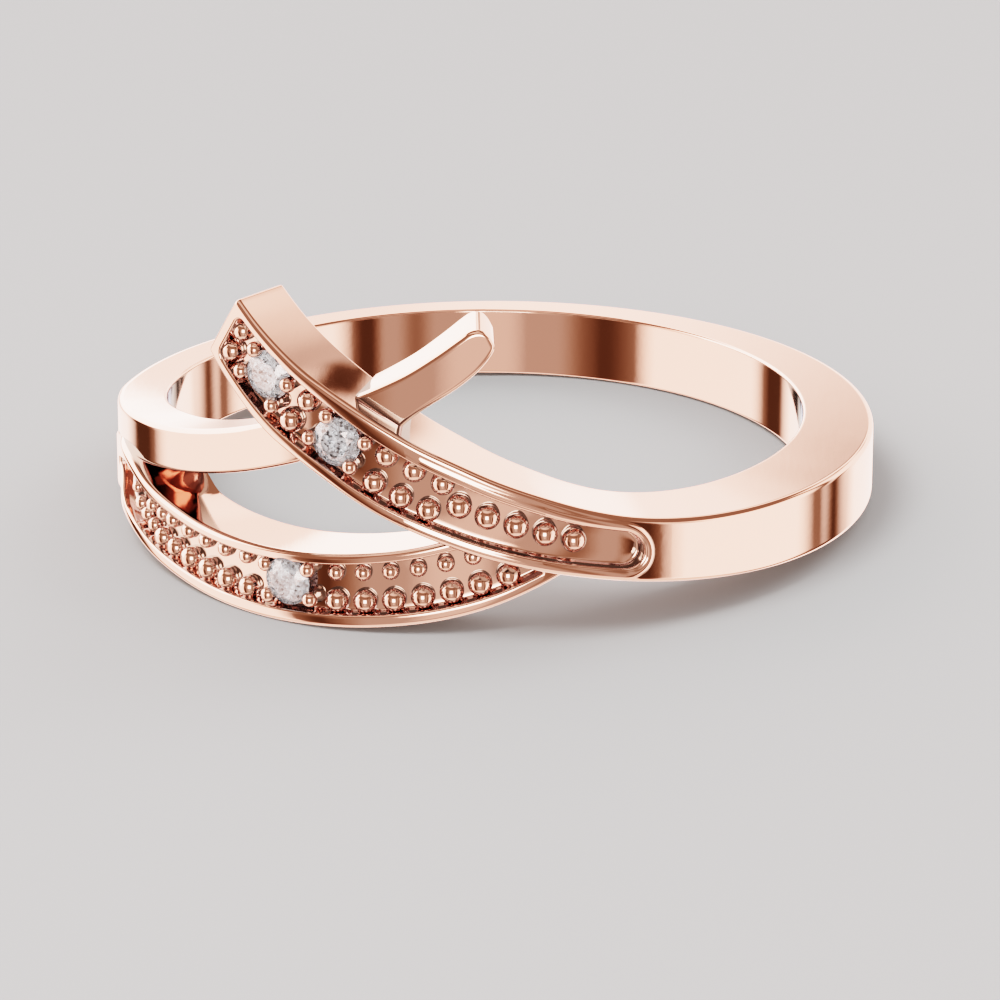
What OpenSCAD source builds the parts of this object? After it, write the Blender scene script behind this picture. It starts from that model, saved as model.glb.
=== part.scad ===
// Swirl ring: an off-centre band that opens into three strands at the front.
// The plain strand climbs from the left and ends in a rounded tip, the long
// beaded strand crosses over it from a cut tip down to the right shoulder, and
// the short beaded strand bulges below them. The band is one casting with an
// exact finger hole; three small stones sit in conical seats.
// The finger axis is Z, the origin is in the middle of the finger hole and of
// the plain shank's width, and the swirl faces -Y.

/* [Finger hole] */

// Inner diameter of the ring
inner_d = 17.3; // [16:0.1:19]

/* [Band] */

// Width of the plain shank, which also scales the heights of the strands
band_w = 1.92; // [1.7:0.02:2.1]

// Wall thickness at the back, where the band is thinnest
back_wall = 0.94; // [0.85:0.01:1.1]

// Wall thickness at the front, where the beaded strand is thickest
front_wall = 2.36; // [2.25:0.01:2.5]

// Wall thickness of the plain strand
plain_wall = 1.36; // [1.2:0.02:1.45]

// Extra bulge of the lower strand
lower_bulge = 0; // [-0.1:0.02:0.1]

// How much wider the inside is above the shank, where only the strands stand
swirl_ease = 0.02; // [0.01:0.01:0.05]

/* [Beaded channels] */

// Width of the rims along the long strand, and of the short strand's upper rim
rim_w = 0.25; // [0.2:0.01:0.28]

// Width of the short strand's lower rim
low_rim_w = 0.36; // [0.26:0.01:0.4]

// Depth of the channels below the rims
channel_d = 0.4; // [0.3:0.02:0.46]

/* [Stones] */

// Girdle diameter of the round stones
stone_d = 1.3; // [1.1:0.02:1.36]

// Gap left between a stone and its seat
seat_gap = 0.02; // [0.01:0.005:0.04]

/* [Detail] */

// Facets laid between two rows of a strand table
steps = 6; // [4:1:8]

/* [Hidden] */
$fn = 96;

bore_r = inner_d / 2;
outer_r = (inner_d + back_wall + front_wall) / 2;
off_r = (front_wall - back_wall) / 2;
off_at = 288;                     // direction in which the outside is offset
off_xy = [off_r * cos(off_at), off_r * sin(off_at)];
kh = band_w / 1.92;               // height scale of the tables
plain_r = bore_r + plain_wall;
far_r = outer_r + off_r + 1.2;    // beyond the outside everywhere
near_r = bore_r - 0.8;            // inside the finger hole everywhere

// Columns of the strand tables: angle and height of the lower edge, angle and
// height of the upper edge, and how much lower the inner side of it is.
A_LOW = 0; Z_LOW = 1; A_TOP = 2; Z_TOP = 3; LEAN = 4;

// Long beaded strand, from its cut tip at upper left to the right shoulder.
long_rows = [
    [228.1, 6.06, 233.8, 7.66, 0.26],
    [231.5, 5.39, 237.0, 7.10, 0.14],
    [235.0, 4.76, 240.4, 6.59, 0.06],
    [238.6, 4.22, 243.8, 6.14, 0],
    [242.6, 3.78, 247.4, 5.76, 0],
    [247.0, 3.32, 251.4, 5.35, 0],
    [252.0, 2.79, 255.8, 4.90, 0],
    [257.5, 2.30, 260.6, 4.44, 0],
    [263.6, 1.86, 265.8, 4.00, 0],
    [270.0, 1.46, 271.4, 3.53, 0],
    [277.0, 1.11, 277.6, 3.08, 0],
    [284.0, 0.83, 284.2, 2.65, 0],
    [291.0, 0.59, 291.0, 2.32, 0],
    [299.0, 0.38, 299.0, 2.10, 0],
    [308.0, 0.21, 308.0, 1.98, 0],
    [318.0, 0.09, 318.0, 1.93, 0],
    [330.0, 0.02, 330.0, 1.92, 0],
    [345.0, 0.00, 345.0, 1.92, 0]];

// Plain strand, from the back of the shank over the left side to its tip.
plain_rows = [
    [112.0, 0.00, 112.0, 1.92, 0],
    [128.0, 0.00, 128.0, 1.93, 0],
    [144.0, 0.00, 144.0, 1.98, 0],
    [158.0, 0.00, 158.0, 2.06, 0],
    [169.0, 0.00, 169.0, 2.16, 0],
    [178.0, 0.02, 178.0, 2.29, 0],
    [182.0, 0.90, 182.0, 2.37, 0],
    [187.0, 1.49, 186.5, 2.45, 0],
    [194.5, 1.57, 194.0, 2.64, 0],
    [203.0, 1.66, 202.5, 2.87, 0],
    [211.5, 1.90, 210.5, 3.08, 0],
    [220.0, 2.20, 218.5, 3.35, 0],
    [228.5, 2.57, 226.5, 3.70, 0],
    [236.5, 3.01, 234.0, 4.11, 0],
    [243.5, 3.47, 240.8, 4.55, -0.08],
    [250.0, 4.01, 247.0, 5.00, -0.15],
    [256.0, 4.59, 252.8, 5.48, -0.18],
    [261.2, 5.12, 257.9, 5.98, -0.18],
    [265.4, 5.62, 262.5, 6.52, -0.16],
    [268.2, 6.02, 265.9, 6.98, -0.14],
    [269.9, 6.34, 267.6, 7.19, -0.08],
    [270.9, 6.60, 269.2, 7.24, -0.04],
    [271.4, 6.80, 270.5, 7.10, 0]];

// Short beaded strand, from the left side down and round below the long one.
// Its last column is how far its outside stands off the round outside.
BULGE = 5;
low_rows = [
    [176.0,  0.10, 176.0, 1.20, 0, -0.35],
    [184.0, -0.01, 184.0, 1.50, 0, -0.06],
    [190.0,  0.00, 190.0, 1.72, 0, -0.14],
    [197.0, -0.05, 197.0, 1.84, 0, -0.05],
    [203.0, -0.23, 203.0, 1.72, 0, -0.06],
    [210.0, -0.50, 210.0, 1.41, 0, -0.12],
    [217.0, -0.70, 217.0, 1.22, 0, -0.19],
    [224.0, -0.82, 224.0, 1.09, 0, -0.20],
    [231.0, -0.89, 231.0, 1.03, 0, -0.20],
    [238.0, -0.91, 238.0, 1.03, 0, -0.22],
    [245.0, -0.87, 245.0, 1.10, 0, -0.28],
    [252.0, -0.79, 252.0, 1.23, 0, -0.41],
    [259.0, -0.64, 259.0, 1.43, 0, -0.56],
    [265.0, -0.43, 265.0, 1.70, 0, -0.66],
    [271.0, -0.12, 271.0, 2.05, 0, -0.74],
    [277.0,  0.31, 277.0, 2.30, 0, -0.82],
    [282.0,  0.75, 282.0, 2.40, 0, -0.88]];

// Stone seats: angle, height, strand turn and how far the girdle stands off
// the finger axis.
S_A = 0; S_Z = 1; S_TURN = 2; S_R = 3;
seat_tip = [238.4, 5.75, 0, 10.52];
seat_mid = [249.2, 4.28, 0, 10.62];
seat_low = [240.5, 0.19, 0, 10.36];

// ---- smooth rows between the table rows ----

function row_at(t, i) = t[max(0, min(len(t) - 1, i))];
function blend(a, b, c, d, f) =
    0.5 * (2 * b + (c - a) * f + (2 * a - 5 * b + 4 * c - d) * f * f
           + (3 * b - a - 3 * c + d) * f * f * f);
function smooth(t, s) = let (i = min(len(t) - 2, floor(s)), f = s - i)
    blend(row_at(t, i - 1), row_at(t, i), row_at(t, i + 1), row_at(t, i + 2), f);
function resample(t, s0, s1, n) = [for (k = [0 : n]) smooth(t, s0 + (s1 - s0) * k / n)];

// Distance of the round outside from the finger axis at an angle.
function round_r(a) = off_r * cos(a - off_at)
    + sqrt(outer_r * outer_r - pow(off_r * sin(a - off_at), 2));
function low_r(a, bulge) = round_r(a) + bulge + lower_bulge;
function at(a, r, z) = [r * cos(a), r * sin(a), z * kh];

// Slope of the leaning side, for any distance from the axis.
function lean_z(z, lean, r, r_full) = z - lean * (r_full - r) / (r_full - bore_r);

// ---- solids swept along a table ----

// Four corners a row, rows in rising angle.
module sweep(rings) {
    n = len(rings);
    polyhedron(
        points = [for (r = rings) each r],
        faces = [
            [0, 3, 2], [0, 2, 1],
            for (i = [0 : n - 2]) for (k = [0 : 3]) let (a = i * 4 + k, b = i * 4 + (k + 1) % 4) each
                [[a, b, b + 4], [a, b + 4, a + 4]],
            let (e = (n - 1) * 4) each [[e, e + 1, e + 2], [e, e + 2, e + 3]]
        ],
        convexity = 8);
}

function wall_ring(q, r0, r1) = [
    at(q[A_LOW], r0, q[Z_LOW]),
    at(q[A_LOW], r1, q[Z_LOW]),
    at(q[A_TOP], r1, lean_z(q[Z_TOP], q[LEAN], r1, round_r(q[A_TOP]))),
    at(q[A_TOP], r0, lean_z(q[Z_TOP], q[LEAN], r0, round_r(q[A_TOP])))];

// Channel section: the strand section drawn in by its two rims, then narrowed.
function channel_ring(q, rim_low, rim_top, r_floor, r1, part) =
    let (rise = q[Z_TOP] - q[Z_LOW],
         turn = q[A_TOP] - q[A_LOW],
         wide = norm([rise, turn * PI / 180 * (bore_r + 2)]),
         mid = (rim_low + wide - rim_top) / 2 / wide,
         half = (wide - rim_low - rim_top) / 2 / wide * part,
         al = q[A_LOW] + turn * (mid - half), zl = q[Z_LOW] + rise * (mid - half),
         ah = q[A_LOW] + turn * (mid + half), zh = q[Z_LOW] + rise * (mid + half))
    [at(al, r_floor, zl), at(al, r1, zl), at(ah, r1, zh), at(ah, r_floor, zh)];

// ---- sub-parts of the band ----

module plain_back() {
    // exact sector of the shank, flat on both sides
    reach = far_r * 1.5;
    linear_extrude(band_w)
        polygon([[0, 0], for (a = [-22 : 20 : 118]) [reach * cos(a), reach * sin(a)]]);
}

module plain_walls() {
    rows = resample(plain_rows, 0, len(plain_rows) - 1, (len(plain_rows) - 1) * steps);
    sweep([for (q = rows) wall_ring(q, near_r,
        q[A_LOW] < 172 ? far_r : q[A_LOW] > 181 ? plain_r
            : far_r + (plain_r - far_r) * (q[A_LOW] - 172) / 9)]);
}

module long_walls() {
    rows = resample(long_rows, 0, len(long_rows) - 1, (len(long_rows) - 1) * steps);
    sweep([for (q = rows) wall_ring(q, near_r, far_r)]);
}

module long_channel() {
    last = 11.95;
    n = 11 * steps;
    turn = 0.42;       // length of the rounded end, in rows
    function part(s) = s < last - turn ? 1
        : sqrt(max(0.02, 1 - pow((s - last + turn) / turn, 2)));
    s_list = [for (k = [0 : n]) 0.22 + (last - turn - 0.22) * k / n,
              for (k = [1 : 6]) last - turn + turn * sin(k * 15)];
    sweep([for (s = s_list) let (q = smooth(long_rows, s))
        channel_ring(q, rim_w, rim_w, round_r((q[A_LOW] + q[A_TOP]) / 2) - channel_d, far_r, part(s))]);
}

module low_strand() {
    rows = resample(low_rows, 0, len(low_rows) - 1, (len(low_rows) - 1) * steps);
    sweep([for (q = rows) let (r = low_r(q[A_LOW], q[BULGE]))
        [at(q[A_LOW], near_r, q[Z_LOW]), at(q[A_LOW], r, q[Z_LOW]),
         at(q[A_TOP], r, q[Z_TOP]),
         at(q[A_TOP], near_r, lean_z(q[Z_TOP], q[LEAN], near_r, r))]]);
}

module low_channel() {
    n = 13 * steps;
    s0 = 1.7;
    s1 = 15.2;
    point = 1.6;       // length of the pointed start, in rows
    sweep([for (k = [0 : n]) let (s = s0 + (s1 - s0) * k / n, q = smooth(low_rows, s),
                                  r = low_r(q[A_LOW], q[BULGE]))
        channel_ring(q, low_rim_w, rim_w, r - channel_d, far_r, min(1, 0.1 + 0.9 * (s - s0) / point))]);
}

// Put a thing drawn along +Z at a seat, so that it points away from the axis.
module at_seat(s) {
    rotate([0, 0, s[S_A]]) translate([s[S_R], 0, s[S_Z] * kh]) rotate([0, 90, 0]) children();
}

module seat_cut(s) {
    g = stone_d / 2 + seat_gap;
    at_seat(s) rotate_extrude()
        polygon([[0, -0.46 * stone_d - 2 * seat_gap], [0.06 * stone_d, -0.46 * stone_d - 2 * seat_gap],
                 [g, -0.04 * stone_d - seat_gap], [g, 1.4], [0, 1.4]]);
}

// Round brilliant: flat table, crown, thin girdle and pavilion.
module stone(s) {
    at_seat(s) rotate_extrude($fn = 16)
        polygon([[0, -0.44 * stone_d], [0.03 * stone_d, -0.44 * stone_d], [0.5 * stone_d, -0.02 * stone_d],
                 [0.5 * stone_d, 0.015 * stone_d], [0.28 * stone_d, 0.15 * stone_d], [0, 0.15 * stone_d]]);
}

// The tables measure heights from the underside of the plain shank.
module level() {
    translate([0, 0, -band_w / 2]) children();
}

module band() {
    color([0.91, 0.66, 0.55]) level() difference() {
        union() {
            difference() {
                intersection() {
                    translate([off_xy[0], off_xy[1], -2]) cylinder(r = outer_r, h = 12);
                    union() {
                        long_walls();
                        plain_walls();
                        plain_back();
                    }
                }
                long_channel();
            }
            difference() {
                low_strand();
                low_channel();
            }
        }
        seat_cut(seat_tip);
        seat_cut(seat_mid);
        seat_cut(seat_low);
        translate([0, 0, -3]) cylinder(r = bore_r, h = 14);
        translate([0, 0, band_w + 0.06]) cylinder(r = bore_r + swirl_ease, h = 10);
    }
}

module stone_tip() { color([0.92, 0.95, 1, 0.7]) level() stone(seat_tip); }

module stone_mid() { color([0.92, 0.95, 1, 0.7]) level() stone(seat_mid); }

module stone_low() { color([0.92, 0.95, 1, 0.7]) level() stone(seat_low); }

band();
stone_tip();
stone_mid();
stone_low();
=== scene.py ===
import bpy
import math
import numpy as np
from mathutils import Matrix, Vector

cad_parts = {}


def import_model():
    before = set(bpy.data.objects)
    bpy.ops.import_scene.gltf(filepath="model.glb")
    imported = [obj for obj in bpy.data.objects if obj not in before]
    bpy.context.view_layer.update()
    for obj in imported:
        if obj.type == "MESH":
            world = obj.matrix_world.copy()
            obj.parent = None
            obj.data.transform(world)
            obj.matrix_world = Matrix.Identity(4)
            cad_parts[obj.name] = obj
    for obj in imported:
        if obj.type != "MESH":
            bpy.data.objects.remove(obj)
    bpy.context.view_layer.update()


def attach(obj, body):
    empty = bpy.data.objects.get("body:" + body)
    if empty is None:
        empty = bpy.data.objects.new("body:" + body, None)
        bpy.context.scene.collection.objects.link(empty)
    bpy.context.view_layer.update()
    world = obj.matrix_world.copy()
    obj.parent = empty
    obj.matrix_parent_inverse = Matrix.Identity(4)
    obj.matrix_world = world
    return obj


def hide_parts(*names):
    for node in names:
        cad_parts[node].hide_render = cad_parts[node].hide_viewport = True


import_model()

# ---------------------------------------------------------------- sizes, in mm
MM = 0.001
LEVEL = -0.96            # the tables measure heights from the shank's underside
BORE = 8.65
OUTER, OFF, OFF_AT = 10.2935, 0.7093, 288.0
PLAIN_R = 10.01
LOW_RIM = 0.35           # the short strand's lower rim
TOP_RIM = 0.28           # and its upper rim
EDGE = 0.14              # rounding of the strands' outer edges
MOUTH = 0.075            # rounding of the channels' edges
CHANNEL_D = 0.40
STONE_D = 1.30
EASE = 0.02

# Columns of the strand tables: angle and height of the lower edge, angle and
# height of the upper edge, how much lower its inner side is, and stand-off.
A_LOW, Z_LOW, A_TOP, Z_TOP, LEAN, BULGE = range(6)
LONG = np.array([
    [228.1, 6.06, 233.8, 7.66, 0.26, 0], [231.5, 5.39, 237.0, 7.10, 0.14, 0],
    [235.0, 4.76, 240.4, 6.59, 0.06, 0], [238.6, 4.22, 243.8, 6.14, 0, 0],
    [242.6, 3.78, 247.4, 5.76, 0, 0], [247.0, 3.32, 251.4, 5.35, 0, 0],
    [252.0, 2.79, 255.8, 4.90, 0, 0], [257.5, 2.30, 260.6, 4.44, 0, 0],
    [263.6, 1.86, 265.8, 4.00, 0, 0], [270.0, 1.46, 271.4, 3.53, 0, 0],
    [277.0, 1.11, 277.6, 3.08, 0, 0], [284.0, 0.83, 284.2, 2.65, 0, 0],
    [291.0, 0.59, 291.0, 2.32, 0, 0], [299.0, 0.38, 299.0, 2.10, 0, 0],
    [308.0, 0.21, 308.0, 1.98, 0, 0], [318.0, 0.09, 318.0, 1.93, 0, 0],
    [330.0, 0.02, 330.0, 1.92, 0, 0], [345.0, 0.00, 345.0, 1.92, 0, 0],
    [360.0, 0.00, 360.0, 1.92, 0, 0], [375.0, 0.00, 375.0, 1.92, 0, 0],
    [390.0, 0.00, 390.0, 1.92, 0, 0], [405.0, 0.00, 405.0, 1.92, 0, 0],
    [420.0, 0.00, 420.0, 1.92, 0, 0], [435.0, 0.00, 435.0, 1.92, 0, 0],
    [450.0, 0.00, 450.0, 1.92, 0, 0]], float)
PLAIN = np.array([
    [90.0, 0.00, 90.0, 1.92, 0, 0], [101.0, 0.00, 101.0, 1.92, 0, 0],
    [112.0, 0.00, 112.0, 1.92, 0, 0], [128.0, 0.00, 128.0, 1.93, 0, 0],
    [144.0, 0.00, 144.0, 1.98, 0, 0], [158.0, 0.00, 158.0, 2.06, 0, 0],
    [169.0, 0.00, 169.0, 2.16, 0, 0], [178.0, 0.02, 178.0, 2.29, 0, 0],
    [182.0, 0.90, 182.0, 2.37, 0, 0], [187.0, 1.49, 186.5, 2.45, 0, 0],
    [194.5, 1.57, 194.0, 2.64, 0, 0], [203.0, 1.66, 202.5, 2.87, 0, 0],
    [211.5, 1.90, 210.5, 3.08, 0, 0], [220.0, 2.20, 218.5, 3.35, 0, 0],
    [228.5, 2.57, 226.5, 3.70, 0, 0], [236.5, 3.01, 234.0, 4.11, 0, 0],
    [243.5, 3.47, 240.8, 4.55, -0.08, 0], [250.0, 4.01, 247.0, 5.00, -0.15, 0],
    [256.0, 4.59, 252.8, 5.48, -0.18, 0], [261.2, 5.12, 257.9, 5.98, -0.18, 0],
    [265.4, 5.62, 262.5, 6.52, -0.16, 0], [268.2, 6.02, 265.9, 6.98, -0.14, 0],
    [269.9, 6.34, 267.6, 7.19, -0.08, 0], [270.9, 6.60, 269.2, 7.24, -0.04, 0],
    [271.4, 6.80, 270.5, 7.10, 0, 0]], float)
SHORT = np.array([
    [176.0, 0.10, 176.0, 1.20, 0, -0.35], [184.0, -0.01, 184.0, 1.50, 0, -0.06],
    [190.0, 0.00, 190.0, 1.72, 0, -0.14], [197.0, -0.05, 197.0, 1.84, 0, -0.05],
    [203.0, -0.23, 203.0, 1.72, 0, -0.06], [210.0, -0.50, 210.0, 1.41, 0, -0.12],
    [217.0, -0.70, 217.0, 1.22, 0, -0.19], [224.0, -0.82, 224.0, 1.09, 0, -0.20],
    [231.0, -0.89, 231.0, 1.03, 0, -0.20], [238.0, -0.91, 238.0, 1.03, 0, -0.22],
    [245.0, -0.87, 245.0, 1.10, 0, -0.28], [252.0, -0.79, 252.0, 1.23, 0, -0.41],
    [259.0, -0.64, 259.0, 1.43, 0, -0.56], [265.0, -0.43, 265.0, 1.70, 0, -0.66],
    [271.0, -0.12, 271.0, 2.05, 0, -0.74], [277.0, 0.31, 277.0, 2.30, 0, -0.82],
    [282.0, 0.75, 282.0, 2.40, 0, -0.88]], float)

# The plain strand's short end, which stands on the long strand's top: it starts
# with a bevelled edge that runs along the long strand, in the columns above.
BAR_R = 10.24
BAR = np.array([
    [257.75, 4.62, 250.6, 5.38, -0.10, 0], [258.9, 4.83, 252.9, 5.56, -0.12, 0],
    [261.4, 5.19, 258.1, 6.05, -0.14, 0], [265.5, 5.69, 262.6, 6.59, -0.14, 0],
    [268.25, 6.09, 265.95, 7.04, -0.12, 0], [269.9, 6.41, 267.6, 7.25, -0.08, 0],
    [270.9, 6.67, 269.2, 7.30, -0.04, 0], [271.4, 6.86, 270.5, 7.16, 0, 0]], float)

# Widths of the long strand's rims: place along it, upper rim, lower rim.
LONG_RIMS = np.array([[0.0, 0.28, 0.28], [2.6, 0.31, 0.32], [5.0, 0.44, 0.33],
                      [7.0, 0.48, 0.34], [10.6, 0.47, 0.34], [12.0, 0.41, 0.35], [13.2, 0.37, 0.36]])

# Seats: angle, height, distance of the girdle from the finger axis.
SEATS = {"stone_tip": (238.4, 5.75, 10.52), "stone_mid": (249.2, 4.28, 10.62),
         "stone_low": (240.5, 0.19, 10.36)}


def round_r(a):
    t = np.radians(np.asarray(a, float) - OFF_AT)
    return OFF * np.cos(t) + np.sqrt(OUTER ** 2 - (OFF * np.sin(t)) ** 2)


def smooth(table, s):
    s = np.atleast_1d(np.asarray(s, float))
    n = len(table)
    i = np.clip(np.floor(s).astype(int), 0, n - 2)
    f = (s - i)[:, None]
    a, b, c, d = (table[np.clip(i + k, 0, n - 1)] for k in (-1, 0, 1, 2))
    return 0.5 * (2 * b + (c - a) * f + (2 * a - 5 * b + 4 * c - d) * f * f + (3 * b - a - 3 * c + d) * f ** 3)


class Strand:
    """One strand: its table, its outside radius at an angle and its inside radius."""

    def __init__(self, table, outside, inside):
        self.t, self.outside, self.inside = table, outside, inside
        self.last = len(table) - 1
        s = np.linspace(0, self.last, 4001)
        q = smooth(table, s)
        am, zm = (q[:, A_LOW] + q[:, A_TOP]) / 2, (q[:, Z_LOW] + q[:, Z_TOP]) / 2
        r = self.outside(am, q[:, BULGE])
        p = np.c_[r * np.cos(np.radians(am)), r * np.sin(np.radians(am)), zm]
        self.s = s
        self.sigma = np.r_[0, np.cumsum(np.linalg.norm(np.diff(p, axis=0), axis=1))]

    def s_at(self, sigma):
        return np.interp(sigma, self.sigma, self.s)

    def sigma_at(self, s):
        return np.interp(s, self.s, self.sigma)

    def width(self, q, r):
        return math.hypot(q[Z_TOP] - q[Z_LOW], math.radians(q[A_TOP] - q[A_LOW]) * r)

    def row(self, s):
        q = smooth(self.t, s)[0]
        ro = float(self.outside((q[A_LOW] + q[A_TOP]) / 2, q[BULGE]))
        return q, ro, self.width(q, ro)

    def place(self, q, frac, depth):
        """Point at a share of the way across the strand, at a depth below its outside, in mm."""
        a = q[A_LOW] + (q[A_TOP] - q[A_LOW]) * frac
        ro = float(self.outside(a, q[BULGE]))
        r = ro - depth
        lean = q[LEAN] * frac * min(1.3, max(-0.3, depth / (ro - self.inside)))
        z = q[Z_LOW] + (q[Z_TOP] - q[Z_LOW]) * frac - lean
        t = math.radians(a)
        return (r * math.cos(t), r * math.sin(t), z + LEVEL)

    def spot(self, sigma, across, depth):
        """Point on the strand: along its middle, across it (+ is up) and below its outside."""
        q, ro, w = self.row(self.s_at(sigma))
        return self.place(q, 0.5 + across / w, depth)

    def frame_at(self, sigma, across, depth):
        """Matrix whose Z looks out of the strand and whose X runs along it."""
        p = Vector(self.spot(sigma, across, depth))
        along = Vector(self.spot(sigma + 0.1, across, depth)) - Vector(self.spot(sigma - 0.1, across, depth))
        out = Vector((p.x, p.y, 0)).normalized()
        x = along.normalized()
        y = out.cross(x).normalized()
        x = y.cross(out)
        m = Matrix((x, y, out)).transposed().to_4x4()
        m.translation = p
        return m


def plain_out(a, bulge):
    a = np.asarray(a, float)
    f = np.clip((a - 172) / 9, 0, 1)
    f = f * f * (3 - 2 * f)
    return round_r(a) * (1 - f) + PLAIN_R * f


long_strand = Strand(LONG, lambda a, b: round_r(a), BORE)
plain_strand = Strand(PLAIN, plain_out, BORE + EASE / 2)
bar_strand = Strand(BAR, lambda a, b: BAR_R + 0 * np.asarray(a, float), BORE + EASE / 2)
short_strand = Strand(SHORT, lambda a, b: round_r(a) + b, BORE + EASE * 1.5)

# ---------------------------------------------------------------- mesh helpers


def new_object(name, verts, faces, smooth_angle=None):
    mesh = bpy.data.meshes.new(name)
    mesh.from_pydata([tuple(c * MM for c in v) for v in verts], [], faces)
    mesh.validate()
    mesh.update()
    obj = bpy.data.objects.new(name, mesh)
    bpy.context.scene.collection.objects.link(obj)
    if smooth_angle is not None:
        mesh.shade_smooth()
        mesh.set_sharp_from_angle(angle=math.radians(smooth_angle))
    return obj


def outward(verts, faces):
    """Faces turned so that the closed mesh they make has a positive volume."""
    v = np.array(verts, float)
    vol = 0.0
    for f in faces:
        for i in range(1, len(f) - 1):
            vol += np.dot(v[f[0]], np.cross(v[f[i]], v[f[i + 1]]))
    return faces if vol > 0 else [tuple(reversed(f)) for f in faces]


def rounded_section(w, t, r_out, r_in, inset):
    """Closed outline of a strand's section: (across, height above the inside), from the inner lower corner."""
    def arc(cu, cv, r, a0):
        return [(cu + r * math.cos(math.radians(a0 + k * 15)), cv + r * math.sin(math.radians(a0 + k * 15)))
                for k in range(7)]

    ro, ri = max(0.02, r_out - inset), max(0.015, r_in - inset)
    u0, u1, v0, v1 = inset, w - inset, inset, t - inset
    pts = []

    def side(p, q, n):
        # points along a flat side, with a close one at each end that keeps its shading flat
        e = 0.025 / max(0.1, math.dist(p, q))
        fr = [e] + [e + (1 - 2 * e) * k / n for k in range(1, n)] + [1 - e]
        return [(p[0] + (q[0] - p[0]) * f, p[1] + (q[1] - p[1]) * f) for f in fr]

    c1 = arc(u0 + ri, v0 + ri, ri, 180)      # inner low
    c2 = arc(u1 - ri, v0 + ri, ri, 270)      # inner top
    c3 = arc(u1 - ro, v1 - ro, ro, 0)        # outer top
    c4 = arc(u0 + ro, v1 - ro, ro, 90)       # outer low
    pts += c1 + side(c1[-1], c2[0], 4) + c2 + side(c2[-1], c3[0], 4)
    pts += c3 + side(c3[-1], c4[0], 8) + c4 + side(c4[-1], c1[0], 4)
    return pts


def sweep(name, strand, s_list, r_out=EDGE, r_in=0.07, round_start=0.0, round_end=0.0, skew=0.0):
    """Closed strand with rounded edges, and a rounded rim round each free end."""
    stations = [(s, 0.0) for s in s_list]
    if round_start:
        s0 = s_list[0]
        ds = strand.s_at(strand.sigma_at(s0) + round_start) - s0
        head = [(s0 + ds * (1 - math.cos(t)), round_start * (1 - math.sin(t)))
                for t in [k * math.pi / 14 for k in range(8)]]
        stations = head + [x for x in stations if x[0] > s0 + ds * 1.15]
    if round_end:
        s1 = s_list[-1]
        ds = s1 - strand.s_at(strand.sigma_at(s1) - round_end)
        tail = [(s1 - ds * (1 - math.cos(t)), round_end * (1 - math.sin(t)))
                for t in [k * math.pi / 14 for k in range(8)]]
        stations = [x for x in stations if x[0] < s1 - ds * 1.15] + tail[::-1]
    verts, n = [], 0
    for s, inset in stations:
        q, ro, w = strand.row(s)
        t = ro - strand.inside
        sec = rounded_section(w, t, r_out, r_in, inset)
        n = len(sec)
        fade = max(0.0, 1 - float(strand.sigma_at(s)) / 1.3) ** 2 * skew
        if fade:
            # the cut end isn't square: its inner side reaches a little further
            step = Vector(strand.spot(0.0, 0, 0.5 * t)) - Vector(strand.spot(0.2, 0, 0.5 * t))
            step.normalize()
            verts += [tuple(Vector(strand.place(q, u / w, t - v)) + step * fade * (1 - v / t)) for u, v in sec]
        else:
            verts += [strand.place(q, u / w, t - v) for u, v in sec]
    faces = []
    m = len(stations)
    for i in range(m - 1):
        for k in range(n):
            a, b = i * n + k, i * n + (k + 1) % n
            faces.append((a, b, b + n, a + n))
    faces.append(tuple(range(n))[::-1])
    faces.append(tuple((m - 1) * n + k for k in range(n)))
    return new_object(name, verts, outward(verts, faces))


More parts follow.
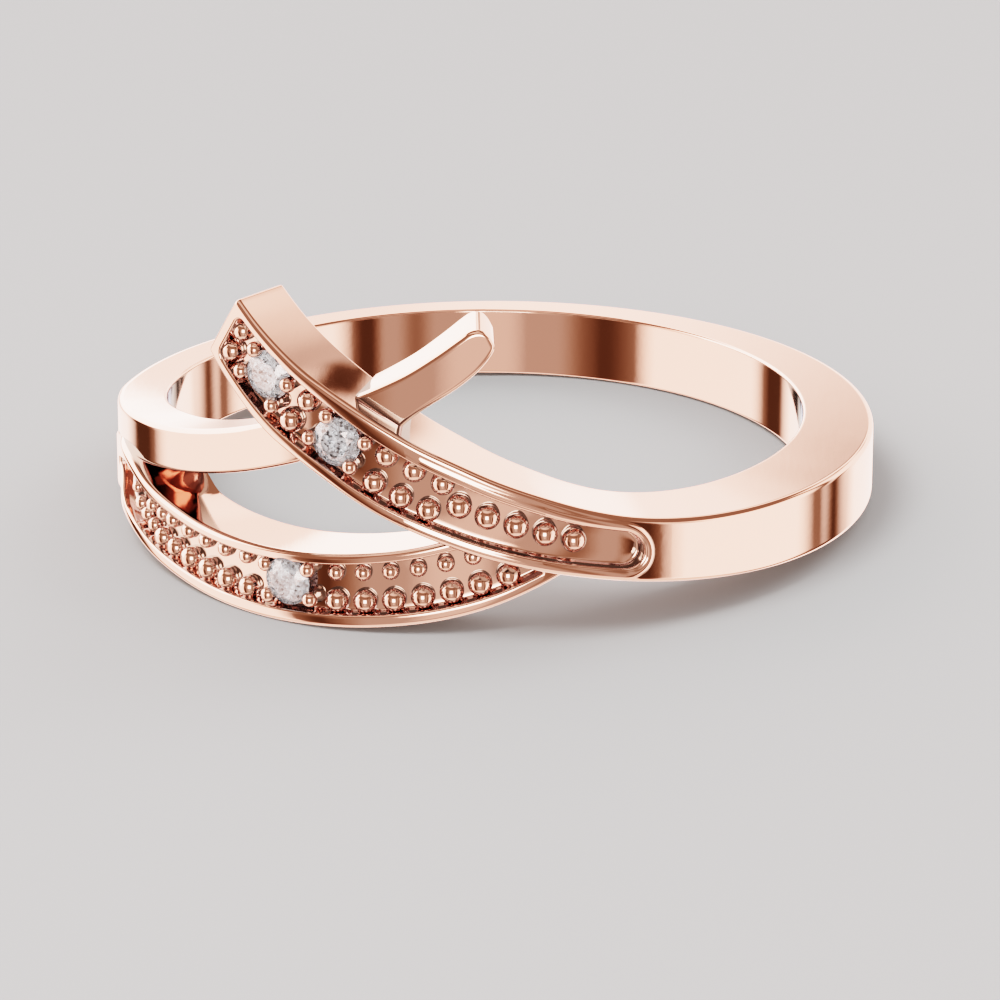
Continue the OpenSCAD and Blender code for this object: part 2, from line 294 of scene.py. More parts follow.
def slot(name, strand, stations, depth=CHANNEL_D, mouth=MOUTH, fillet=0.08):
    """Closed cutter of a channel. A station is (sigma, low side, top side) at the mouth, both across the strand."""
    st = np.array(stations, float)
    n = len(st)
    low = [(p[0], p[1]) for p in st]
    top = [(p[0], p[2]) for p in st]
    loop = np.array(low + top[::-1])
    m = len(loop)

    def moved(off):
        # the loop moved inwards, corner by corner
        prev, nxt = np.roll(loop, 1, axis=0), np.roll(loop, -1, axis=0)
        d1, d2 = loop - prev, nxt - loop
        d1 /= np.linalg.norm(d1, axis=1)[:, None]
        d2 /= np.linalg.norm(d2, axis=1)[:, None]
        n1, n2 = np.c_[-d1[:, 1], d1[:, 0]], np.c_[-d2[:, 1], d2[:, 0]]
        b = n1 + n2
        b /= np.maximum(1e-6, np.linalg.norm(b, axis=1))[:, None]
        k = np.clip((b * n1).sum(axis=1), 0.6, 1)
        return loop + b * (off / k)[:, None]

    levels = [(-mouth, -0.25)]
    levels += [(-mouth + mouth * math.sin(t), mouth - mouth * math.cos(t) - (0.004 if k == 0 else 0))
               for k, t in enumerate([j * math.pi / 10 for j in range(6)])]
    levels += [(0, (mouth + depth - fillet) / 2)]
    levels += [(fillet * (1 - math.cos(t)), depth - fillet + fillet * math.sin(t))
               for t in [0, math.pi / 6, math.pi / 3, math.pi / 2]]
    verts = []
    for off, dep in levels:
        for sg, ac in moved(off):
            verts.append(strand.spot(sg, ac, dep))
    faces = []
    for i in range(len(levels) - 1):
        for k in range(m):
            a, b = i * m + k, i * m + (k + 1) % m
            faces.append((a, b, b + m, a + m))

    def cap(base, off, dep, flip):
        # strips across the channel, each in four parts
        ring = moved(off)
        cols = [[base + i for i in range(n)]]
        for f in (0.25, 0.5, 0.75):
            col = []
            for i in range(n):
                if i in (0, n - 1):
                    col.append(None)
                    continue
                a, b = ring[i], ring[m - 1 - i]
                verts.append(strand.spot(a[0] + (b[0] - a[0]) * f, a[1] + (b[1] - a[1]) * f, dep))
                col.append(len(verts) - 1)
            cols.append(col)
        cols.append([base + m - 1 - i for i in range(n)])
        out = []
        for i in range(n - 1):
            for c in range(4):
                quad = [cols[c][i], cols[c][i + 1], cols[c + 1][i + 1], cols[c + 1][i]]
                if i == 0:
                    if c == 0:
                        out.append((cols[0][0], cols[0][1], cols[1][1], cols[2][1], cols[3][1], cols[4][1], cols[4][0]))
                    continue
                if i == n - 2:
                    if c == 0:
                        out.append((cols[0][i], cols[0][i + 1], cols[4][i + 1], cols[4][i], cols[3][i], cols[2][i], cols[1][i]))
                    continue
                out.append(tuple(quad))
        return [tuple(reversed(f)) for f in out] if flip else out

    faces += cap((len(levels) - 1) * m, *levels[-1], False)
    faces += cap(0, *levels[0], True)
    return new_object(name, verts, outward(verts, faces))


def boolean(target, tool, op):
    mod = target.modifiers.new("cut", "BOOLEAN")
    mod.operation, mod.object, mod.solver = op, tool, "MANIFOLD"
    dg = bpy.context.evaluated_depsgraph_get()
    mesh = bpy.data.meshes.new_from_object(target.evaluated_get(dg))
    target.modifiers.clear()
    old = target.data
    target.data = mesh
    bpy.data.meshes.remove(old)
    bpy.data.objects.remove(tool)
    return target


def lathe(profile, seg, matrix, verts, faces):
    """Adds a turned piece whose profile is (radius, height) from its foot to its top."""
    base = len(verts)
    rings = []
    for r, z in profile:
        if r < 1e-6:
            verts.append(tuple(matrix @ Vector((0, 0, z))))
            rings.append([len(verts) - 1])
            continue
        ring = []
        for k in range(seg):
            t = 2 * math.pi * k / seg
            verts.append(tuple(matrix @ Vector((r * math.cos(t), r * math.sin(t), z))))
            ring.append(len(verts) - 1)
        rings.append(ring)
    for a, b in zip(rings, rings[1:]):
        for k in range(seg):
            j = (k + 1) % seg
            if len(a) == 1:
                faces.append((a[0], b[j], b[k]))
            elif len(b) == 1:
                faces.append((a[k], a[j], b[0]))
            else:
                faces.append((a[k], a[j], b[j], b[k]))
    return base


# ---------------------------------------------------------------- the band
long_s = np.concatenate([np.arange(0, 12.6, 1 / 7), np.arange(12.6, 17, 1 / 8), np.arange(17, 24.001, 1 / 7)])
long_s = np.unique(np.clip(np.append(long_s, 24.0), 0, 24.0))
plain_s = np.unique(np.append(np.arange(0, 24.0, 1 / 7), 24.0))
short_s = np.linspace(0, 16, 121)

half_long = sweep("band", long_strand, list(long_s), round_start=0.09, skew=0.20)
half_plain = sweep("plain_half", plain_strand, list(plain_s[plain_s <= 17.01]))
bar = sweep("bar", bar_strand, list(np.linspace(0, 7, 57)), round_start=0.15, round_end=0.11)
short_body = sweep("short_body", short_strand, list(short_s))


LONG_END, LONG_TURN = 12.93, 0.56        # where the long channel ends, and its round end's length


def long_slot_stations():
    first, last, turn = 0.30, LONG_END, LONG_TURN

    def sides(sigma):
        q, ro, w = long_strand.row(long_strand.s_at(sigma))
        top, low = (np.interp(sigma, LONG_RIMS[:, 0], LONG_RIMS[:, i]) for i in (1, 2))
        return -w / 2 + low, w / 2 - top

    out = []
    n = 110
    # the start follows the cut tip, with small round corners
    corner = 0.22
    for k in range(7):
        t = k / 6 * math.pi / 2
        sg = first + corner * (1 - math.cos(t))
        a, b = sides(sg)
        d = corner * (1 - math.sin(t))
        out.append((sg, a + d, b - d))
    for k in range(1, n):
        sg = first + corner + (last - turn - first - corner) * k / n
        out.append((sg, *sides(sg)))
    for k in range(11):
        t = k / 10 * math.radians(84)
        sg = last - turn + turn * math.sin(t) / math.sin(math.radians(84))
        a, b = sides(sg)
        mid, half = (a + b) / 2, (b - a) / 2 * math.cos(t)
        out.append((sg, mid - half, mid + half))
    return out


def short_slot_stations():
    s0, s1, point = 1.75, 15.2, 1.7
    out = []
    n = 130
    for k in range(n + 1):
        f = k / n
        s = s0 + (s1 - s0) * f
        sg = short_strand.sigma_at(s)
        q, ro, w = short_strand.row(s)
        a, b = -w / 2 + LOW_RIM, w / 2 - TOP_RIM
        part = min(1.0, 0.10 + 0.90 * ((s - s0) / point) ** 0.8)
        mid, half = (a + b) / 2, (b - a) / 2 * part
        out.append((sg, mid - half, mid + half))
    return out


def end_rim():
    """Round bead of the long channel's rims: it rises slowly out of both and runs round the channel's end."""
    r, away = 0.165, 0.165
    stations = [p for p in long_slot_stations() if p[0] > 5.2]
    curve = [(p[0], p[2]) for p in stations] + [(p[0], p[1]) for p in stations[::-1]]
    curve = np.array(curve)
    tangent = np.gradient(curve, axis=0)
    tangent /= np.linalg.norm(tangent, axis=1)[:, None]
    out = np.c_[-tangent[:, 1], tangent[:, 0]]
    seg = 20
    verts = []
    for (sg, ac), (ns, na) in zip(curve, out):
        centre = float(np.interp(sg, [5.2, 7.0, 11.0, 12.7], [0.185, 0.148, 0.130, 0.105]))
        for k in range(seg):
            t = 2 * math.pi * k / seg
            d = away + r * math.cos(t)
            verts.append(long_strand.spot(sg + ns * d, ac + na * d, centre - r * math.sin(t)))
    n = len(curve)
    faces = [(i * seg + k, i * seg + (k + 1) % seg, (i + 1) * seg + (k + 1) % seg, (i + 1) * seg + k)
             for i in range(n - 1) for k in range(seg)]
    faces += [tuple(range(seg))[::-1], tuple((n - 1) * seg + k for k in range(seg))]
    return new_object("end_rim", verts, outward(verts, faces))


def web():
    """Ramp that fills the narrow end of the gap between the plain and the short strand."""
    up = smooth(PLAIN, np.linspace(8, 16, 401))
    down = smooth(SHORT, np.linspace(2, 10, 401))
    verts = []
    angles = np.linspace(197, 217, 41)
    for a in angles:
        za = float(np.interp(a, up[:, A_LOW], up[:, Z_LOW])) + LEVEL + 0.03
        zc = float(np.interp(a, down[:, A_TOP], down[:, Z_TOP])) + LEVEL - 0.03
        za = max(za, zc + 0.02)
        f = min(1.0, max(0.0, (a - 206.5) / 10.5))
        top = za + (zc + 0.02 - za) * f * f * (3 - 2 * f)
        high = float(np.interp(a, [197, 203, 208, 211], [9.85, 9.40, 8.85, 8.72]))
        low = float(np.interp(a, [197, 203, 211, 217], [10.02, 10.04, 9.98, 9.60]))
        t = math.radians(a)
        # the ramp is slightly hollow, like solder drawn into a corner
        curve = [(low + (high - low) * g, zc + (top - zc) * (0.35 * g + 0.65 * g * g)) for g in (0, 0.25, 0.5, 0.75, 1)]
        for r, z in curve + [(8.70, top), (8.70, zc)]:
            verts.append((r * math.cos(t), r * math.sin(t), z))
    n, m = 7, len(angles)
    faces = [(i * n + k, i * n + (k + 1) % n, (i + 1) * n + (k + 1) % n, (i + 1) * n + k)
             for i in range(m - 1) for k in range(n)]
    faces += [tuple(range(n))[::-1], tuple((m - 1) * n + k for k in range(n))]
    return new_object("web", verts, outward(verts, faces))


boolean(half_plain, short_body, "UNION")
boolean(half_plain, web(), "UNION")
boolean(half_plain, slot("short_slot", short_strand, short_slot_stations()), "DIFFERENCE")
boolean(half_long, end_rim(), "UNION")
boolean(half_long, slot("long_slot", long_strand, long_slot_stations()), "DIFFERENCE")
boolean(half_long, half_plain, "UNION")
boolean(half_long, bar, "UNION")


def seat_matrix(seat):
    a, z, r = seat
    t = math.radians(a)
    out = Vector((math.cos(t), math.sin(t), 0))
    up = Vector((0, 0, 1))
    x = up.cross(out)
    m = Matrix((x, up, out)).transposed().to_4x4()
    m.translation = out * r + Vector((0, 0, z + LEVEL))
    return m


for name, seat in SEATS.items():
    g = STONE_D / 2 + 0.02
    v, f = [], []
    lathe([(0, -0.46 * STONE_D - 0.04), (0.06 * STONE_D, -0.46 * STONE_D - 0.04),
           (g, -0.04 * STONE_D - 0.02), (g, 0.9), (0, 0.9)], 64, seat_matrix(seat), v, f)
    boolean(half_long, new_object("seat_cut", v, outward(v, f)), "DIFFERENCE")

band = half_long
mesh = band.data
mesh.shade_smooth()
mesh.set_sharp_from_angle(angle=math.radians(32))
flat = band.modifiers.new("flat", "WEIGHTED_NORMAL")
flat.keep_sharp = True
flat.weight = 90
band.data = bpy.data.meshes.new_from_object(band.evaluated_get(bpy.context.evaluated_depsgraph_get()))
band.modifiers.clear()
mesh = band.data
print("band triangles", sum(len(p.vertices) - 2 for p in mesh.polygons))

# ---------------------------------------------------------------- beads and prongs
# Rows of beads: the first one's place along the strand, the step, how many,
# how far across the strand, its change per bead, radius and depth of the centre.
LONG_BEADS = [
    [11.03, -0.783, 5, 0.03, 0, 0.33, 0.20],
    [7.14, -0.76, 3, -0.37, 0, 0.32, 0.17],
    [7.36, -0.825, 3, 0.44, 0, 0.31, 0.20],
    [2.96, 0, 1, -0.30, 0, 0.33, 0.15],
    [3.16, 0, 1, 0.44, 0, 0.30, 0.20],
    [0.56, 0, 1, -0.30, 0, 0.31, 0.17],
    [0.56, 0, 1, 0.42, 0, 0.28, 0.17],
]
SHORT_BEADS = [
    [5.16, 0.45, 3, -0.06, -0.065, 0.21, 0.22],
    [6.65, 0.66, 2, -0.25, 0, 0.28, 0.19],
    [8.09, 0.78, 4, -0.22, -0.02, 0.31, 0.16],
    [13.13, 0.77, 7, -0.28, -0.015, 0.32, 0.16],
    [4.65, 0.60, 1, 0.12, 0, 0.16, 0.26],
    [5.95, 0.62, 2, 0.30, 0.06, 0.20, 0.22],
    [7.18, 0.79, 5, 0.46, 0.02, 0.22, 0.18],
    [13.11, 0.735, 7, 0.48, -0.008, 0.23, 0.18],
]
# Prongs round each stone: along and across from the strand's place; all share one radius and depth.
LONG_PRONGS = [[4.89, -0.37], [3.61, -0.37], [5.06, 0.44], [3.81, 0.44],
               [2.31, -0.37], [1.09, -0.43], [2.46, 0.44], [1.16, 0.39]]
SHORT_PRONGS = [[11.10, -0.34], [12.37, -0.30], [11.03, 0.50], [12.31, 0.50]]
LOOK = Vector((0, math.cos(math.radians(19.6)), -math.sin(math.radians(19.6))))


def ball_profile(r, floor):
    """The part of a ball that stands out of the channel's floor, which is this far below its centre."""
    low = floor + 0.03
    t0 = -math.asin(min(1.0, low / r)) if low < r else -math.pi / 2
    n = 14
    pts = [(r * math.cos(t), r * math.sin(t)) for t in [t0 + (math.pi / 2 - t0) * k / n for k in range(n)]]
    if low < r:
        pts = [(0, -low)] + pts
    else:
        pts[0] = (0, -r)
    return pts + [(0, r)]


def prong_profile(r, floor):
    """A post with a round head."""
    foot = 0.86 * r
    t0 = math.acos(foot / r)
    pts = [(0, -floor - 0.03), (foot, -floor - 0.03), (foot, -r * math.sin(t0))]
    n = 12
    for k in range(1, n):
        t = -t0 + (math.pi / 2 + t0) * k / n
        pts.append((r * math.cos(t), r * math.sin(t)))
    return pts + [(0, r)]


def beads(name, strand, rows, prongs, floor=CHANNEL_D):
    """The row gives the place where a bead shows in the photo; it is then sunk along
    the photo's line of sight until its centre is just above the floor."""
    v, f = [], []
    for first, step, count, across, change, r, depth in rows:
        for k in range(int(count)):
            m = strand.frame_at(first + step * k, across + change * k, depth)
            centre = floor - max(0.04, 0.16 * r)
            out = m.col[2].to_3d()
            m.translation += LOOK * ((centre - depth) / max(0.6, -out.dot(LOOK)))
            lathe(ball_profile(r, floor - centre), 32, m, v, f)
    for along, across in prongs:
        m = strand.frame_at(along, across, 0.12)
        lathe(prong_profile(0.21, floor - 0.12), 28, m, v, f)
    return new_object(name, v, f, 50)


beads_long = beads("beads_long", long_strand, LONG_BEADS, LONG_PRONGS)
beads_short = beads("beads_short", short_strand, SHORT_BEADS, SHORT_PRONGS)


# ---------------------------------------------------------------- stones
FOLD = 12


def brilliant(name, seat):
    d = STONE_D
    m = seat_matrix(seat)
    v, f = [], []

    def ring(count, radius, z, turn):
        out = []
        for k in range(count):
            t = math.radians(turn + 360 * k / count)
            v.append(tuple(m @ Vector((radius * math.cos(t), radius * math.sin(t), z))))
            out.append(len(v) - 1)
        return out

    n = FOLD
    turn = 180.0 / n

    def on_plane(rho, r0, z0, r1, z1):
        x = rho * math.cos(math.radians(turn))
        return z0 + (z1 - z0) * (x - r0) / (r1 - r0)

    rt, hc, hg = 0.28 * d, 0.15 * d, 0.012 * d
    table = ring(n, rt, hc, 0)
    rho = (rt * math.cos(math.radians(turn)) + 0.5 * d) / 2
    star = ring(n, rho, on_plane(rho, rt, hc, 0.5 * d, hg), turn)
    g_top = ring(2 * n, 0.5 * d, hg, 0)
    g_low = ring(2 * n, 0.5 * d, -hg, 0)
    rp = 0.125 * d
    main = ring(n, rp, on_plane(rp, 0, -0.43 * d, 0.5 * d, -hg), turn)
    v.append(tuple(m @ Vector((0, 0, -0.43 * d))))
    culet = len(v) - 1
    f.append(tuple(table))
    for k in range(n):
        j, i = (k + 1) % n, (k - 1) % n
        f.append((table[k], star[k], table[j]))
        f.append((table[k], star[i], g_top[2 * k], star[k]))
        f.append((star[k], g_top[2 * k], g_top[2 * k + 1]))
        f.append((star[k], g_top[2 * k + 1], g_top[(2 * k + 2) % (2 * n)]))
        f.append((g_low[2 * k], main[k], g_low[2 * k + 1]))
        f.append((g_low[2 * k + 1], main[k], g_low[(2 * k + 2) % (2 * n)]))
        f.append((culet, main[k], g_low[2 * k], main[i]))
    for k in range(2 * n):
        j = (k + 1) % (2 * n)
        f.append((g_top[k], g_low[k], g_low[j], g_top[j]))
    obj = new_object(name, v, f)
    import bmesh
    bm = bmesh.new()
    bm.from_mesh(obj.data)
    bmesh.ops.recalc_face_normals(bm, faces=bm.faces)
    bm.to_mesh(obj.data)
    bm.free()
    return obj


stones = {name: brilliant("cut_" + name, seat) for name, seat in SEATS.items()}


# ---------------------------------------------------------------- materials
def nodes_of(name):
    mat = bpy.data.materials.new(name)
    mat.use_nodes = True
    return mat, mat.node_tree.nodes, mat.node_tree.links


def rose_gold():
    mat, nodes, links = nodes_of("rose_gold_polished")
    bsdf = nodes["Principled BSDF"]
    bsdf.inputs["Metallic"].default_value = 1.0
    bsdf.inputs["Base Color"].default_value = (0.88, 0.60, 0.51, 1)
    coord = nodes.new("ShaderNodeTexCoord")
    # fine polishing marks along the finger axis's turn, and small differences in gloss
    fine = nodes.new("ShaderNodeTexNoise")
    fine.inputs["Scale"].default_value = 5200
    fine.inputs["Detail"].default_value = 3
    broad = nodes.new("ShaderNodeTexNoise")
    broad.inputs["Scale"].default_value = 420
    broad.inputs["Detail"].default_value = 4
    stretch = nodes.new("ShaderNodeMapping")
    stretch.inputs["Scale"].default_value = (1.0, 0.12, 1.0)
    links.new(coord.outputs["Object"], stretch.inputs["Vector"])
    links.new(stretch.outputs["Vector"], fine.inputs["Vector"])
    links.new(coord.outputs["Object"], broad.inputs["Vector"])
    rough = nodes.new("ShaderNodeMapRange")
    rough.inputs["From Min"].default_value = 0.3
    rough.inputs["From Max"].default_value = 0.7
    rough.inputs["To Min"].default_value = 0.035
    rough.inputs["To Max"].default_value = 0.085
    links.new(broad.outputs["Fac"], rough.inputs["Value"])
    links.new(rough.outputs["Result"], bsdf.inputs["Roughness"])
    bump = nodes.new("ShaderNodeBump")
    bump.inputs["Strength"].default_value = 0.03
    bump.inputs["Distance"].default_value = 0.00002
    links.new(fine.outputs["Fac"], bump.inputs["Height"])
    links.new(bump.outputs["Normal"], bsdf.inputs["Normal"])
    return mat


def diamond():
    mat, nodes, links = nodes_of("stone_clear")
    bsdf = nodes["Principled BSDF"]
    bsdf.inputs["IOR"].default_value = 2.42
    bsdf.inputs["Roughness"].default_value = 0.0
    # painted reflection: patches of pale, grey and dark base colour stand in for the many small flashes and dark specks
    # of a brilliant cut, most of them pale
    coord = nodes.new("ShaderNodeTexCoord")
    cells = nodes.new("ShaderNodeTexVoronoi")
    cells.inputs["Scale"].default_value = 14500
    links.new(coord.outputs["Object"], cells.inputs["Vector"])
    split = nodes.new("ShaderNodeSeparateColor")
    links.new(cells.outputs["Color"], split.inputs["Color"])
    # painted flashes and painted dark reflections, put into the stone's base colour
    painted_flash_tone = nodes.new("ShaderNodeValToRGB")
    painted_flash_tone.color_ramp.interpolation = "CONSTANT"
    painted_flash_tone.color_ramp.elements[0].color = (0.20, 0.205, 0.21, 1)
    painted_flash_tone.color_ramp.elements[1].position = 0.34
    painted_flash_tone.color_ramp.elements[1].color = (0.97, 0.98, 1.0, 1)
    for place, grey in ((0.09, 0.58), (0.19, 0.86)):
        painted_flash_tone.color_ramp.elements.new(place).color = (grey * 0.97, grey * 0.985, grey, 1)
    links.new(split.outputs["Red"], painted_flash_tone.inputs["Fac"])
    links.new(painted_flash_tone.outputs["Color"], bsdf.inputs["Base Color"])
    # and some of them are clearer than others
    clear = nodes.new("ShaderNodeMapRange")
    clear.inputs["To Min"].default_value = 0.50
    clear.inputs["To Max"].default_value = 0.90
    links.new(split.outputs["Green"], clear.inputs["Value"])
    links.new(clear.outputs["Result"], bsdf.inputs["Transmission Weight"])
    return mat


def floor_material():
    mat, nodes, links = nodes_of("pale_floor")
    bsdf = nodes["Principled BSDF"]
    bsdf.inputs["Base Color"].default_value = (0.36, 0.36, 0.362, 1)
    bsdf.inputs["Roughness"].default_value = 0.6
    bsdf.inputs["Specular IOR Level"].default_value = 0.0
    return mat


gold, clear = rose_gold(), diamond()
for obj in (band, beads_long, beads_short):
    obj.data.materials.clear()
    obj.data.materials.append(gold)
for obj in stones.values():
    obj.data.materials.append(clear)

for obj in (band, beads_long, beads_short):
    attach(obj, "root")
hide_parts("band")
for name, obj in stones.items():
    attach(obj, "root")
    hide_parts(name)


# ---------------------------------------------------------------- floor, light and camera
def resting_plane():
    """Height at the axis and slope of the floor that the ring lies on: it touches
    the short strand's lowest point and the back's lower edge behind it."""
    q = smooth(SHORT, np.linspace(0, 16, 801))
    k = int(np.argmin(q[:, Z_LOW]))
    a, z1 = math.radians(q[k, A_LOW]), q[k, Z_LOW] + LEVEL
    r1 = float(round_r(q[k, A_LOW]) + q[k, BULGE]) - 0.11
    p1 = np.array([r1 * math.cos(a), r1 * math.sin(a)])
    c = OFF * np.array([math.cos(math.radians(OFF_AT)), math.sin(math.radians(OFF_AT))])
    n = -p1 / np.linalg.norm(p1)
    n = (n + 0.06 * np.array([-n[1], n[0]]))
    n /= np.linalg.norm(n)
    p2 = c + (OUTER - 0.11) * n
    slope = (LEVEL - z1) / float((p2 - p1) @ n)
    return z1 - slope * float(p1 @ n), slope, n


z0, slope, n = resting_plane()
normal = Vector((-slope * n[0], -slope * n[1], 1)).normalized()
side = 1400.0
x = Vector((1, 0, 0)) - normal * normal.x
x.normalize()
y = normal.cross(x)
c0 = Vector((0, 0, z0 - 0.01))
corners = [c0 + x * (side * i) + y * (side * j) for i, j in ((-1, -1), (1, -1), (1, 1), (-1, 1))]
floor = new_object("floor", [tuple(c) for c in corners], [(0, 1, 2, 3)])
floor.data.materials.append(floor_material())
floor.visible_glossy = False


# Soft boxes and the dark gaps between them. Azimuth from +Y towards +X: centre, half
# width, softness; elevation: centre, half height, softness; level, or how dark a gap is.
LAMPS = [
    [5, 41, 8, -27, 21, 6, 3.0],
    [-49, 45.5, 1.2, 20, 24, 6, 4.4],
    [-49, 52.2, 1.3, 20, 24, 6, 2.4],
    [30, 33, 3, 8, 28, 5, 2.7],
    [-88.5, 30.5, 6, -12, 34, 6, 2.7],
    [98.5, 27.5, 6, -12, 34, 6, 2.8],
    [180, 44, 6, -18, 50, 8, 0.52],
    [-177, 13, 9, -18, 20, 8, 0.92],
    [180, 24, 8, 60, 11, 5, 1.1],
    [-140, 34, 8, 62, 13, 6, 1.2],
    [140, 34, 8, 62, 13, 6, 0.9],
    [9, 5, 4, 7.5, 5, 4, 3.5],
    [0, 200, 1, -82, 32, 8, 1.6],
    [0, 200, 1, 90, 12, 4, 0.9],
    [-176, 13, 4, 7, 14, 4, 6.8],
]
GAPS = [
    [-46, 5.5, 4, -32, 26, 5, 0.93],
    [55.5, 5, 5, -32, 26, 5, 0.92],
    [135, 4, 3.5, -22, 26, 8, 0.74],
    [154, 4, 4, 0, 40, 8, 0.45],
    [-137, 10, 7, -30, 26, 8, 0.60],
    [-143, 4, 4, 16, 12, 5, 0.50],
    [119, 5, 4, 12, 14, 5, 0.55],
    [7, 3.9, 1.6, 22, 3.8, 2.2, 0.80],
    [28.4, 3.4, 1.8, 28.6, 3.0, 2.0, 0.97],
    [23, 4, 2.5, 21, 3, 2.5, 0.72],
    [46, 4, 4, 31, 6, 4, 0.38],
    [35, 7, 6, 33, 6, 3, 0.72],
]
DIM = 0.30               # the studio between and above the boxes


def world():
    w = bpy.data.worlds.new("studio")
    bpy.context.scene.world = w
    w.use_nodes = True
    nt = w.node_tree
    nodes, links = nt.nodes, nt.links
    nodes.clear()
    out = nodes.new("ShaderNodeOutputWorld")
    coord = nodes.new("ShaderNodeTexCoord")
    sep = nodes.new("ShaderNodeSeparateXYZ")
    links.new(coord.outputs["Generated"], sep.inputs["Vector"])

    def math_node(op, a, b=None, c=None, clamp=False):
        m = nodes.new("ShaderNodeMath")
        m.operation = op
        m.use_clamp = clamp
        for i, val in enumerate((a, b, c)):
            if val is None:
                continue
            if isinstance(val, (int, float)):
                m.inputs[i].default_value = val
            else:
                links.new(val, m.inputs[i])
        return m.outputs[0]

    # azimuth from +Y towards +X and elevation, in degrees
    az = math_node("MULTIPLY", math_node("ARCTAN2", sep.outputs["X"], sep.outputs["Y"]), 57.29578)
    el = math_node("MULTIPLY", math_node("ARCSINE", sep.outputs["Z"]), 57.29578)

    def fade(value, half, soft):
        m = nodes.new("ShaderNodeMapRange")
        m.interpolation_type = "SMOOTHSTEP"
        links.new(value, m.inputs["Value"])
        for key, val in (("From Min", half - soft), ("From Max", half + soft), ("To Min", 1), ("To Max", 0)):
            m.inputs[key].default_value = val
        return m.outputs["Result"]

    def patch(row):
        centre, half, soft, up, tall, soft_up = row[:6]
        d = math_node("ABSOLUTE", math_node("WRAP", math_node("SUBTRACT", az, centre), 180, -180))
        e = math_node("ABSOLUTE", math_node("SUBTRACT", el, up))
        return math_node("MULTIPLY", fade(d, half, soft), fade(e, tall, soft_up))

    level = DIM
    for row in LAMPS:
        level = math_node("MAXIMUM", level, math_node("MULTIPLY", patch(row), row[6]))
    for row in GAPS:
        level = math_node("MULTIPLY", level, math_node("SUBTRACT", 1.0, math_node("MULTIPLY", patch(row), row[6])))
    level = math_node("MAXIMUM", level, 0.11)
    # light that has met the metal twice or more is dimmer, which keeps the corners brown
    path = nodes.new("ShaderNodeLightPath")
    again = math_node("GREATER_THAN", path.outputs["Ray Depth"], 2.5)
    level_seen = math_node("MULTIPLY", level, math_node("SUBTRACT", 1.0, math_node("MULTIPLY", again, 0.48)))
    # light that has met it three times or more would go orange in narrow corners, so it is made brighter and cooler
    deep = math_node("GREATER_THAN", path.outputs["Ray Depth"], 3.5)
    level_seen = math_node("MULTIPLY", level_seen, math_node("MULTIPLY_ADD", deep, 0.6, 1.0))
    # the metal mirrors a warm studio, and its darkest parts are the warmest
    warm = nodes.new("ShaderNodeValToRGB")
    warm.color_ramp.interpolation = "LINEAR"
    stops = [(0.024, 0.57, 0.37), (0.11, 0.74, 0.655), (0.24, 0.665, 0.58), (0.50, 0.61, 0.52),
             (0.76, 0.70, 0.62), (1.0, 0.78, 0.72)]      # level / 5, green, blue
    warm.color_ramp.elements[0].position = stops[0][0]
    warm.color_ramp.elements[0].color = (1.0, stops[0][1], stops[0][2], 1)
    warm.color_ramp.elements[1].position = stops[-1][0]
    warm.color_ramp.elements[1].color = (1.0, stops[-1][1], stops[-1][2], 1)
    for place, green, blue in stops[1:-1]:
        warm.color_ramp.elements.new(place).color = (1.0, green, blue, 1)
    links.new(math_node("MULTIPLY", level, 0.2), warm.inputs["Fac"])
    tint = nodes.new("ShaderNodeMix")
    tint.data_type = "RGBA"
    links.new(again, tint.inputs["Factor"])
    links.new(warm.outputs["Color"], tint.inputs["A"])
    tint.inputs["B"].default_value = (0.74, 0.84, 0.86, 1)
    cool = nodes.new("ShaderNodeMix")
    cool.data_type = "RGBA"
    links.new(deep, cool.inputs["Factor"])
    links.new(tint.outputs["Result"], cool.inputs["A"])
    cool.inputs["B"].default_value = (0.60, 0.80, 1.0, 1)
    seen = nodes.new("ShaderNodeBackground")
    links.new(cool.outputs["Result"], seen.inputs["Color"])
    links.new(level_seen, seen.inputs["Strength"])
    # light that comes out of a stone finds a paler, more even studio
    pale = nodes.new("ShaderNodeBackground")
    pale.inputs["Color"].default_value = (0.97, 0.98, 1.0, 1)
    links.new(math_node("MINIMUM", math_node("MULTIPLY_ADD", level, 0.75, 0.30), 2.6), pale.inputs["Strength"])
    # the camera sees the same pale paper as the floor, and the floor gets an even soft light
    paper = nodes.new("ShaderNodeBackground")
    paper.inputs["Color"].default_value = (0.635, 0.635, 0.64, 1)
    paper.inputs["Strength"].default_value = 1.0
    soft = nodes.new("ShaderNodeBackground")
    soft.inputs["Color"].default_value = (1.0, 1.0, 1.0, 1)
    soft.inputs["Strength"].default_value = 0.98
    stone = nodes.new("ShaderNodeMixShader")
    links.new(path.outputs["Is Transmission Ray"], stone.inputs["Fac"])
    links.new(seen.outputs[0], stone.inputs[1])
    links.new(pale.outputs[0], stone.inputs[2])
    mix = nodes.new("ShaderNodeMixShader")
    links.new(path.outputs["Is Diffuse Ray"], mix.inputs["Fac"])
    links.new(stone.outputs[0], mix.inputs[1])
    links.new(soft.outputs[0], mix.inputs[2])
    last = nodes.new("ShaderNodeMixShader")
    links.new(path.outputs["Is Camera Ray"], last.inputs["Fac"])
    links.new(mix.outputs[0], last.inputs[1])
    links.new(paper.outputs[0], last.inputs[2])
    links.new(last.outputs[0], out.inputs["Surface"])


world()


def area(name, position, size, power, target=(0, 0, 0)):
    light = bpy.data.lights.new(name, "AREA")
    light.shape = "DISK"
    light.size = size
    light.energy = power
    obj = bpy.data.objects.new(name, light)
    bpy.context.scene.collection.objects.link(obj)
    obj.location = position
    d = Vector(target) - Vector(position)
    obj.rotation_euler = d.to_track_quat("-Z", "Y").to_euler()
    obj.visible_glossy = False
    obj.visible_camera = False
    obj.visible_transmission = False
    return obj


area("key", (-0.12, -0.10, 0.26), 0.16, 0.61)
area("fill", (0.20, 0.12, 0.20), 0.20, 0.22)

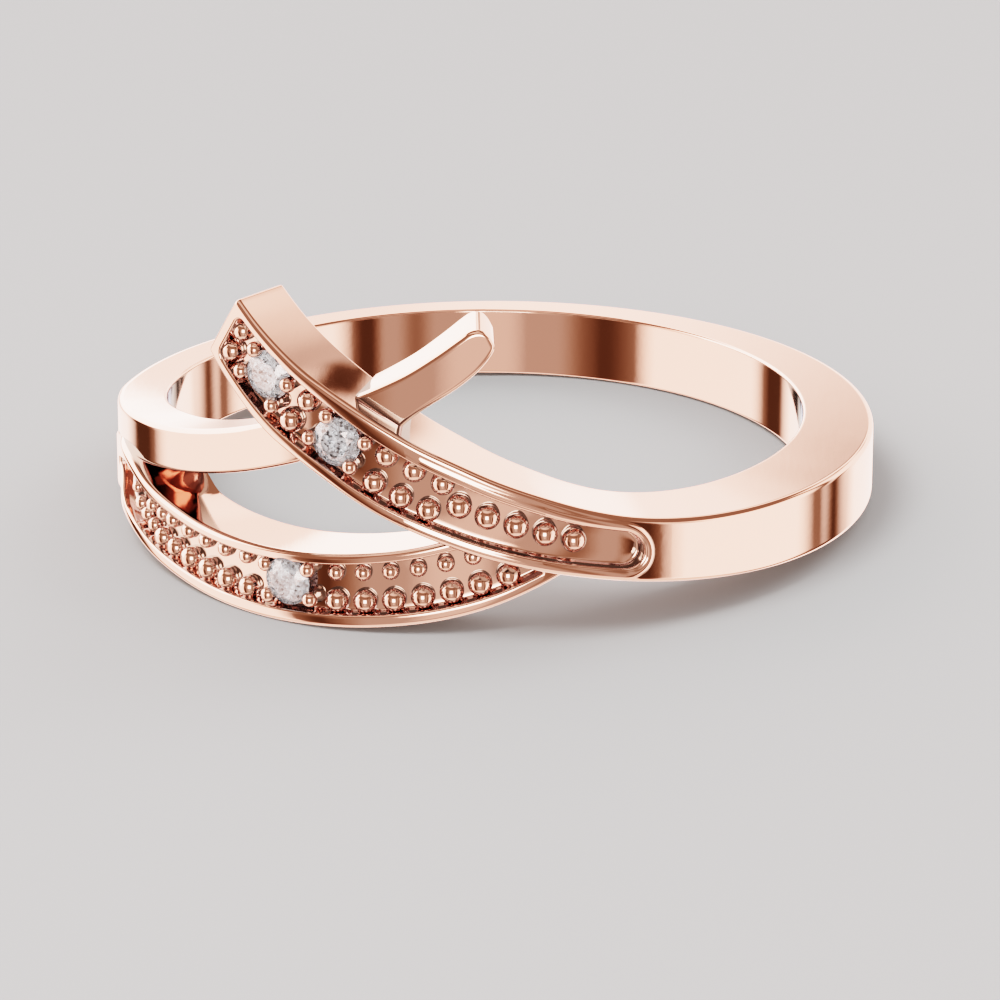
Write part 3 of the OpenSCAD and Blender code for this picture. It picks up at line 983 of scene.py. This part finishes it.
cam_data = bpy.data.cameras.new("camera")
cam_data.lens = 183.24
cam_data.sensor_width = 36
cam_data.clip_start = 0.005
cam_data.clip_end = 20
cam = bpy.data.objects.new("camera", cam_data)
bpy.context.scene.collection.objects.link(cam)
cam.location = (0, -0.131757, 0.045205)
cam.rotation_euler = (math.radians(90 - 19.63), 0, math.radians(-0.17))
bpy.context.scene.camera = cam
bpy.context.scene.view_settings.view_transform = "Filmic"
bpy.context.scene.view_settings.look = "Very High Contrast"
